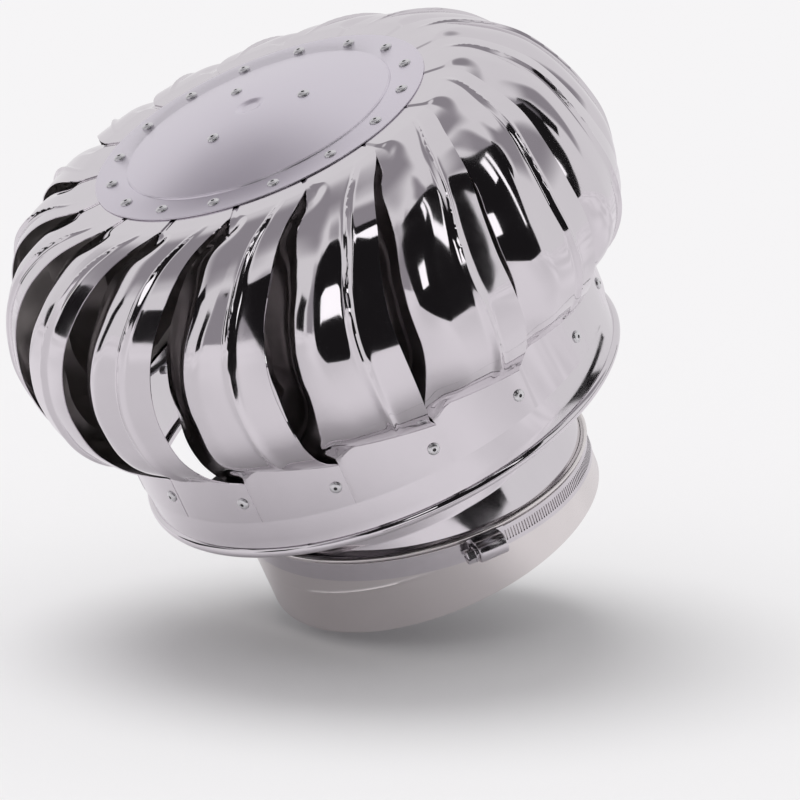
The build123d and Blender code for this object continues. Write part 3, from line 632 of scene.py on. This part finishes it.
def lifted(section):
    """A section round the screw's own axis, moved out to the worm's height."""
    return section + (0, WORM_HEIGHT)


def disc(radius, count=40):
    """A circle of points, in the same turning sense as the other sections."""
    return lifted(arc((0, 0), radius, 0, 360 - 360 / count, count))


slot_top = (HEX_ACROSS - SLOT / 2) / math.sqrt(3)
jaw = np.array([(SLOT / 2, -slot_top), *hexagon[2:0:-1], (SLOT / 2, slot_top)])
head_start = -half - NECK - HEAD
neck_start = -half - NECK
jaw_ends = [(head_start, 0.5), (head_start + 0.45, 0), (head_start + SLOT + 0.2, 0)]
jaws = [along_screw(lifted(jaw * hand), jaw_ends) for hand in (1, -1)]
block = along_screw(lifted(hexagon)[::-1], [(head_start + SLOT + 0.15, 0), (neck_start - 0.9, 0)])
washer = along_screw(disc(WASHER), [(neck_start - 0.95, 0.3), (neck_start - 0.7, 0),
                                    (neck_start - 0.2, 0), (neck_start, 0.3)])
shank = along_screw(disc(SHANK), [(neck_start - 0.1, 0), (half - 0.2, 0), (half, 0.3)])
points, faces = joined(*jaws, block, washer, shank)
screw = make_piece("slotted_screw", points, faces, "screw", ["clamp_screw"], sharp=30)
print("screw head is", HEX_ACROSS, "mm across flats, slot", SLOT, "mm")


# %% [markdown]
# ## Finishes
# Polished sheet, spun satin sheet, brushed sheet, zinc plate, ground bearing steel and rubber
# are all one shader with different numbers, so they share a small builder. It wraps a node's
# output so that ordinary arithmetic makes math nodes. Positions come from Object coordinates, which
# stay put when the rotor turns with its sheet.

# %% A small builder for shader nodes
class Wire:
    """A node's output, on which + - and * make math nodes, from either side."""

    def __init__(self, finish, output):
        self.finish, self.output = finish, output

    def math(self, operation, first, second):
        return self.finish.node("ShaderNodeMath", {"operation": operation}, {0: first, 1: second})

    def __add__(self, other):
        return self.math("ADD", self, other)

    def __sub__(self, other):
        return self.math("SUBTRACT", self, other)

    def __rsub__(self, other):
        return self.math("SUBTRACT", other, self)

    def __mul__(self, other):
        return self.math("MULTIPLY", self, other)

    __radd__, __rmul__ = __add__, __mul__

    def between(self, low, high):
        """0 below low, 1 above high, smooth between."""
        return self.finish.node("ShaderNodeMapRange", {"interpolation_type": "SMOOTHSTEP"},
                                {"Value": self, "From Min": low, "From Max": high})


class Finish:
    """A material with one Principled shader, and a method that adds any other node."""

    def __init__(self, name, **constants):
        self.material = bpy.data.materials.new(name)
        self.material.use_nodes = True
        self.nodes = self.material.node_tree.nodes
        self.links = self.material.node_tree.links
        self.shader = next(n for n in self.nodes if n.type == "BSDF_PRINCIPLED")
        self.place = self.node("ShaderNodeTexCoord", {}, {}, "Object")
        for key, value in constants.items():
            self.give(key.replace("_", " "), value)

    def put(self, socket, value):
        if isinstance(value, Wire):
            self.links.new(value.output, socket)
        else:
            socket.default_value = value

    def node(self, kind, settings, inputs, output=0):
        made = self.nodes.new(kind)
        for key, value in settings.items():
            setattr(made, key, value)
        for key, value in inputs.items():
            self.put(made.inputs[key], value)
        return Wire(self, made.outputs[output])

    def give(self, key, value):
        self.put(self.shader.inputs[key], value)

    def noise(self, stretch, detail=3.0):
        """Noise on the object's own metres, with the number of grains a metre along X, Y and Z."""
        vector = self.node("ShaderNodeMapping", {}, {"Vector": self.place, "Scale": stretch})
        return self.node("ShaderNodeTexNoise", {}, {"Vector": vector, "Scale": 1.0, "Detail": detail,
                                                    "Roughness": 0.55}, "Fac")

    def mix(self, amount, first, second):
        """A colour between two, by an amount from 0 to 1."""
        return self.node("ShaderNodeMix", {"data_type": "RGBA"},
                         {0: amount, 6: first, 7: second}, 2)

    def bump(self, height, depth):
        """Raises the surface by a height field, with its full depth in metres."""
        relief = {"Strength": 1.0, "Distance": depth, "Height": height}
        self.give("Normal", self.node("ShaderNodeBump", {}, relief))


class Room(Finish):
    """The world's nodes, added to by the same method as a finish."""

    def __init__(self, world):
        world.use_nodes = True
        self.nodes, self.links = world.node_tree.nodes, world.node_tree.links


def shade(colour, factor):
    """A colour made lighter or darker."""
    return (*[c * factor for c in colour], 1)


print("a colour at half its light:", shade((0.8, 0.8, 0.8), 0.5))


# %% [markdown]
# Most of these are bare metal: the colour is that of the metal's own reflection, about two
# thirds for stainless steel. What tells them apart is roughness and relief: slow waves in
# the polished sheet, fine grains round the brushed collar, crystals in the zinc. An image would tie
# each finish to one unwrapped shape, and noise in metres fits every piece.

# %% Nine finishes
STEEL = (0.70, 0.672, 0.70)
FILMED_STEEL = (0.742, 0.704, 0.772)
WARM_STEEL = (0.76, 0.728, 0.718)
ALUMINIUM = (0.72, 0.72, 0.73)
ZINC = (0.58, 0.59, 0.61)


def polished_sheet():
    """Mirror-bright sheet: a slow waviness that bends reflections, and faint smears."""
    f = Finish("polished_sheet", Metallic=1.0)
    smear = f.noise((55, 55, 30))
    f.give("Base Color", f.mix(smear, shade(STEEL, 0.97), shade(STEEL, 1.03)))
    f.give("Roughness", 0.055 + 0.07 * smear.between(0.35, 0.8))
    f.bump(f.noise((16, 16, 11), 1.0), 0.0006)
    return f.material


def mill_sheet_painted_shade():
    """The sheet's unpolished inner side: rough rolled metal under a film of dust, its colour painted far
    darker than steel as painted shade, so the gaps between blades stay dark.
    """
    f = Finish("mill_sheet_painted_shade", Metallic=0.9)
    film = f.noise((26, 26, 26))
    # Painted shade: these greys are far darker than the steel of the outer side, so the gaps between the
    # blades read dark.
    f.give("Base Color", f.mix(film, (0.17, 0.155, 0.15, 1), (0.30, 0.28, 0.27, 1)))
    f.give("Roughness", 0.24 + 0.16 * film)
    return f.material


def satin_sheet():
    """Spun sheet under a faintly lilac protective film: an even, soft sheen."""
    f = Finish("satin_sheet", Metallic=1.0)
    cloud = f.noise((22, 22, 22))
    f.give("Base Color", f.mix(cloud, shade(FILMED_STEEL, 0.97), shade(FILMED_STEEL, 1.03)))
    f.give("Roughness", 0.27 + 0.1 * cloud)
    f.bump(f.noise((900, 900, 900), 1.0), 0.000006)
    return f.material


def brushed_sheet():
    """Rolled strip, brushed round the pipe: grains very short in height and long round it."""
    f = Finish("brushed_sheet", Metallic=1.0)
    grain = f.noise((14, 14, 2600), 2.0)
    cloud = f.noise((18, 18, 25))
    f.give("Base Color", f.mix(cloud * 0.7 + grain * 0.3, shade(WARM_STEEL, 0.94), shade(WARM_STEEL, 1.06)))
    f.give("Roughness", 0.17 + 0.12 * grain)
    f.bump(grain, 0.000012)
    return f.material


def clamp_strip():
    """Hard stainless strip and pressings, bright but handled."""
    f = Finish("clamp_strip", Metallic=1.0)
    worn = f.noise((160, 160, 160))
    f.give("Base Color", f.mix(worn, shade(STEEL, 0.88), shade(STEEL, 1.0)))
    f.give("Roughness", 0.13 + 0.14 * worn.between(0.3, 0.75))
    f.bump(f.noise((420, 420, 420), 2.0), 0.00001)
    return f.material


def rivet_metal():
    """Aluminium heads with a dark steel pin, told apart by the pin attribute."""
    f = Finish("rivet_head_metal", Metallic=1.0)
    pin = f.node("ShaderNodeAttribute", {"attribute_name": "pin"}, {}, "Fac")
    dull = f.noise((500, 500, 500))
    head = f.mix(dull, shade(ALUMINIUM, 0.9), shade(ALUMINIUM, 1.05))
    f.give("Base Color", f.mix(pin, head, (0.07, 0.068, 0.07, 1)))
    f.give("Roughness", 0.24 + 0.12 * dull + 0.2 * pin)
    return f.material


def zinc_plate():
    """Zinc-plated pressings: small crystals that turn the grey a little."""
    f = Finish("zinc_plate", Metallic=0.9)
    crystal = f.node("ShaderNodeTexVoronoi", {}, {"Vector": f.place, "Scale": 260.0}, "Color")
    grey = f.node("ShaderNodeSeparateColor", {}, {"Color": crystal})
    f.give("Base Color", f.mix(grey, shade(ZINC, 0.82), shade(ZINC, 1.1)))
    f.give("Roughness", 0.3 + 0.15 * grey)
    return f.material


def ground_steel():
    """Ground and hardened steel, with marks that run round the spindle."""
    f = Finish("ground_steel", Metallic=1.0)
    marks = f.noise((30, 30, 3200), 2.0)
    f.give("Base Color", f.mix(marks, (0.42, 0.42, 0.43, 1), (0.56, 0.56, 0.57, 1)))
    f.give("Roughness", 0.16 + 0.12 * marks)
    return f.material


def seal_rubber():
    """Black rubber, matt and a little dusty."""
    f = Finish("seal_rubber_black", Metallic=0.0)
    dust = f.noise((300, 300, 300))
    f.give("Base Color", f.mix(dust.between(0.4, 0.9), (0.012, 0.012, 0.013, 1), (0.04, 0.04, 0.042, 1)))
    f.give("Roughness", 0.55 + 0.2 * dust)
    return f.material


finishes = {
    "polished_steel": polished_sheet(),
    "mill_side_painted_shade": mill_sheet_painted_shade(),
    "satin_cap": satin_sheet(),
    "brushed_steel": brushed_sheet(),
    "clamp_steel": clamp_strip(),
    "rivet_metal": rivet_metal(),
    "zinc_steel": zinc_plate(),
    "bearing_steel": ground_steel(),
    "seal_rubber": seal_rubber(),
}
print(len(finishes), "finishes")


# %% [markdown]
# The blades' outer side is polished, and their inner side is left rough as the mill rolled it,
# with its colour painted dark as painted shade, so the gaps between them stay dark. The pieces
# inside keep the solids' own meshes, because they are plain turned and pressed shapes that the
# solids already show in full.

# %% Put the finishes on
def dress(piece, finish):
    """One finish over the whole piece."""
    piece.data.materials.clear()
    piece.data.materials.append(finishes[finish])


for piece in blades + [ring]:
    dress(piece, "polished_steel")
# The inner sides get the darkened finish, painted shade that keeps the gaps between blades dark.
for piece in blades:
    piece.data.materials.append(finishes["mill_side_painted_shade"])
    side = np.zeros(len(piece.data.polygons), dtype=np.int32)
    side[OUTER_CELLS:2 * OUTER_CELLS] = 1
    piece.data.polygons.foreach_set("material_index", side)
dress(cap, "satin_cap")
dress(throat, "polished_steel")
dress(collar, "brushed_steel")
for piece in (band, housing, screw):
    dress(piece, "clamp_steel")
for piece in rivets:
    dress(piece, "rivet_metal")

INNER = {
    "zinc_steel": ["throat_bracket", "rotor_spider", "upper_bearing_housing", "lower_bearing_housing",
                   "spindle_washers", "spindle_nuts", "housing_screws", "housing_nuts"],
    "bearing_steel": ["spindle", "upper_inner_race", "lower_inner_race", "upper_outer_race",
                      "lower_outer_race", "spindle_ring", "upper_housing_ring", "lower_housing_ring"],
    "seal_rubber": ["upper_seals", "lower_seals"],
}
for finish, names in INNER.items():
    for name in names:
        dress(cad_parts[name], finish)
print(sum(len(names) for names in INNER.values()), "inner pieces keep their solids")


# %% [markdown]
# ## Stage, light and camera
# Polished steel shows its surroundings more than itself, so the room matters as much as the
# sheet. An even pale room gives the lilac-grey sheen, a soft sun from above gives the shadow on the
# floor, and a dark wall with bright windows in it, behind the camera, gives the crisp blacks.
# The globe is shown leaning, so the floor and the sun are set square to the camera's own
# upright instead of to the spindle.

# %% Camera
CAMERA_PLACE = np.array([0.011698, -1.811405, 1.002699])
CAMERA_RISE = math.radians(26.70)
CAMERA_ROLL = math.radians(-23.61)
LENS = 145.39
level_right = np.array([1.0, 0.0, 0.0])
level_up = np.array([0.0, math.sin(CAMERA_RISE), math.cos(CAMERA_RISE)])
camera_back = np.array([0.0, -math.cos(CAMERA_RISE), math.sin(CAMERA_RISE)])
camera_right = math.cos(CAMERA_ROLL) * level_right + math.sin(CAMERA_ROLL) * level_up
camera_up = -math.sin(CAMERA_ROLL) * level_right + math.cos(CAMERA_ROLL) * level_up


def place_matrix(x, y, z, origin):
    """A matrix from three axis vectors and an origin."""
    return Matrix(np.vstack([np.stack([x, y, z, origin], 1), [0, 0, 0, 1]]).tolist())


lens = bpy.data.cameras.new("camera")
lens.lens, lens.sensor_width = LENS, 36
lens.clip_start, lens.clip_end = 0.05, 60
camera = bpy.data.objects.new("camera", lens)
camera.matrix_world = place_matrix(camera_right, camera_up, camera_back, CAMERA_PLACE)
bpy.context.scene.collection.objects.link(camera)
bpy.context.scene.camera = camera
bpy.context.scene.view_settings.view_transform = "Standard"
print("camera stands", round(float(np.linalg.norm(CAMERA_PLACE)), 3), "m from the collar")


# %% [markdown]
# The floor is one sheet of pale paper. Where the steel mirrors it, it is painted unevenly darker,
# a painted reflection that lays slow greys over the lower sheets. The room is one even colour, a
# little paler where it is seen, straight or in the steel, than where it lights the paper. A wide
# sun gives the shadow its soft edge. It is hidden from reflections, where it would show as one
# hard spot on each blade.

# %% Floor and room
FLOOR_TILT = math.radians(10)
FLOOR_GAP = 0.006
FLOOR_TONE = 0.88
ROOM_COLOUR = (1.0, 0.985, 1.0, 1)
ROOM_LIGHT = 0.70
ROOM_SEEN = 0.83            # the same room where it is seen, straight or in the steel
SUN_LIGHT = 1.12
SUN_SOFTNESS = math.radians(36)
floor_up = camera_up * math.cos(FLOOR_TILT) + camera_back * math.sin(FLOOR_TILT)
floor_ahead = np.cross(floor_up, camera_right)
collar_dip = COLLAR_RADIUS * MM * math.hypot(*floor_up[:2])     # the leaning collar's rim is lowest
floor_middle = floor_up * -(collar_dip + FLOOR_GAP)


def sheet_on(name, middle, x, y, width, height):
    """A flat card, as a mesh of one quad, that belongs to the stage."""
    mesh = bpy.data.meshes.new(name)
    half_x, half_y = x * width / 2, y * height / 2
    low, high = middle - half_y, middle + half_y
    card = [low - half_x, low + half_x, high + half_x, high - half_x]
    mesh.from_pydata([corner.tolist() for corner in card], [], [(0, 1, 2, 3)])
    mesh.uv_layers.new(name="card").data.foreach_set("uv", [0, 0, 1, 0, 1, 1, 0, 1])
    made = bpy.data.objects.new(name, mesh)
    bpy.context.scene.collection.objects.link(made)
    return made


floor = sheet_on("floor", floor_middle, camera_right, floor_ahead, 40, 40)
paper = Finish("floor_paper", Metallic=0.0, Roughness=1.0)
paper.give("Specular IOR Level", 0.0)
in_reflection = paper.node("ShaderNodeLightPath", {}, {}, "Is Glossy Ray")
grain = paper.noise((3, 3, 3))
plain_paper = paper.mix(grain, shade((1, 1, 1.002), FLOOR_TONE), shade((1, 1, 1), FLOOR_TONE))
# Painted reflection: where steel mirrors the paper, the paper is made unevenly darker, down to 0.84 of its
# tone, which lays slow greys over the lower sheets.
reflection_mottle = paper.noise((1.4, 1.4, 1.4), 1.0).between(0.36, 0.64)
mirrored = paper.mix(reflection_mottle, shade((1, 0.98, 1), FLOOR_TONE * 0.84), shade((1, 0.98, 1), FLOOR_TONE))
paper.give("Base Color", paper.mix(in_reflection, plain_paper, mirrored))
from_below = paper.node("ShaderNodeNewGeometry", {}, {}, "Backfacing")
paper.give("Alpha", 1 - from_below)         # so that a low view looks up through the paper
floor.data.materials.append(paper.material)

world = bpy.data.worlds.new("room")
bpy.context.scene.world = world
room = Room(world)
seen = room.node("ShaderNodeLightPath", {}, {}, "Is Camera Ray")
for ray in ("Is Glossy Ray", "Is Transmission Ray"):
    seen = seen.math("MAXIMUM", seen, room.node("ShaderNodeLightPath", {}, {}, ray))
lit, shown = (room.node("ShaderNodeBackground", {}, {"Color": ROOM_COLOUR, "Strength": strength})
              for strength in (ROOM_LIGHT, ROOM_SEEN))
room.put(room.nodes["World Output"].inputs["Surface"],
         room.node("ShaderNodeMixShader", {}, {0: seen, 1: lit, 2: shown}))
sun_data = bpy.data.lights.new("sun", "SUN")
sun_data.energy, sun_data.angle = SUN_LIGHT, SUN_SOFTNESS
sun = bpy.data.objects.new("sun", sun_data)
sun_back = floor_up * 0.97 + camera_right * -0.2 + camera_back * -0.12
sun_back = sun_back / np.linalg.norm(sun_back)
sun_side = np.cross(camera_right, sun_back)
sun_side = sun_side / np.linalg.norm(sun_side)
sun.matrix_world = place_matrix(sun_side, np.cross(sun_back, sun_side), sun_back, sun_back * 2)
bpy.context.scene.collection.objects.link(sun)
sun.visible_glossy = False
print("floor lies", round(float(-floor_middle @ floor_up), 3), "m under the collar's middle")


# %% [markdown]
# Mirrors need something dark to mirror. A wall in front gives the blades their black patches,
# three windows in it the white ones, and three walls farther off the dark streaks at the sides.
# Panels that fade at their edges give slow greys near the cap. Real light boxes would do the
# same in a studio, but they would also light the floor, so these are seen in reflections only.

# %% Dark wall with windows
def flat_light(name, tone, strength):
    """A card's own light, which only reflections see."""
    made = bpy.data.materials.new(name)
    made.use_nodes = True
    nodes = made.node_tree.nodes
    nodes.clear()
    glow = nodes.new("ShaderNodeEmission")
    glow.inputs["Color"].default_value = (*tone, 1)
    glow.inputs["Strength"].default_value = strength
    out = nodes.new("ShaderNodeOutputMaterial")
    made.node_tree.links.new(glow.outputs[0], out.inputs[0])
    return made


def soft_panel(name, tone):
    """A card that fades out towards its edges, so its reflection has no outline."""
    f = Finish(name, Base_Color=(0, 0, 0, 1), Roughness=1.0, Specular_IOR_Level=0.0,
               Emission_Color=(*tone, 1), Emission_Strength=1.0)
    place = f.node("ShaderNodeTexCoord", {}, {}, "UV")
    u, v = (f.node("ShaderNodeSeparateXYZ", {}, {"Vector": place}, way) for way in ("X", "Y"))
    f.give("Alpha", (u * (1 - u)).between(0.0, 0.2) * (v * (1 - v)).between(0.0, 0.2))
    return f.material


def only_reflected(card):
    """Hides a card from all but reflections, so that it darkens no floor and casts no shadow."""
    card.visible_camera = card.visible_diffuse = card.visible_shadow = False
    card.visible_transmission = card.visible_volume_scatter = False


GLOBE_MIDDLE = np.array([0, 0, 0.2])


def reflection_card(name, azimuth, rise, distance, width, height, material):
    """A card that faces the globe's middle from an azimuth and a rise, seen only in reflections."""
    a, e = math.radians(azimuth), math.radians(rise)
    out = np.array([math.cos(a) * math.cos(e), math.sin(a) * math.cos(e), math.sin(e)])
    side = np.array([-math.sin(a), math.cos(a), 0])
    made = sheet_on(name, GLOBE_MIDDLE + out * distance, side, np.cross(out, side), width, height)
    made.data.materials.append(material)
    only_reflected(made)
    return made


dark = flat_light("dark_wall", (0.012, 0.011, 0.012), 1)
grey = soft_panel("grey_wall", (0.33, 0.312, 0.336))
bright = flat_light("window_light", (1, 0.99, 1), 1.42)
CARDS = [
    # name, azimuth, rise, distance, width, height, light
    ("wall_front", 284, 28, 0.70, 1.16, 1.16, dark),
    ("window_mid", 267, 26, 0.68, 0.15, 0.17, bright),
    ("window_high", 300, 52, 0.68, 0.07, 0.12, bright),
    ("window_strip", 312, 34, 0.68, 0.045, 0.6, bright),
    ("wall_left", 196, 20, 3.0, 0.8, 2.4, dark),
    ("wall_back_left", 152, 18, 3.0, 0.7, 2.4, dark),
    ("wall_right", 344, 44, 3.0, 0.5, 1.6, dark),
    ("panel_back", 120, 62, 2.8, 3.2, 3.2, grey),
    ("panel_left", 222, 30, 2.8, 1.1, 3.6, grey),
    ("panel_front", 238, 44, 2.8, 0.7, 3.2, grey),
    ("panel_right", 8, 30, 2.8, 1.3, 3.4, grey),
    ("panel_high", 330, 66, 2.8, 1.2, 2.2, grey),
]
for card in CARDS:
    reflection_card(*card)
print(len(CARDS), "cards stand round the globe")


# %% [markdown]
# Polished steel shows a thin dark line where it mirrors the edge of something near. One such
# line runs along the ring just above its bead. Part of a narrow dark hoop, standing round the
# ring and a little below it, gives it.

# %% Dark hoop below the bead
HOOP_RADIUS = 0.19
HOOP_HEIGHTS = (0.0815, 0.0862)
HOOP_FROM = 258
HOOP_TO = 352
hoop_angle = np.radians(np.linspace(HOOP_FROM, HOOP_TO, 60))
hoop_edges = [np.stack([HOOP_RADIUS * np.cos(hoop_angle), HOOP_RADIUS * np.sin(hoop_angle),
                        np.full(60, height)], -1) for height in HOOP_HEIGHTS]
hoop_mesh = bpy.data.meshes.new("dark_hoop")
hoop_mesh.from_pydata(np.concatenate(hoop_edges).tolist(), [], grid_faces(2, 60).tolist())
hoop = bpy.data.objects.new("dark_hoop", hoop_mesh)
bpy.context.scene.collection.objects.link(hoop)
hoop.data.materials.append(dark)
only_reflected(hoop)
print("the hoop runs over", HOOP_TO - HOOP_FROM, "degrees")
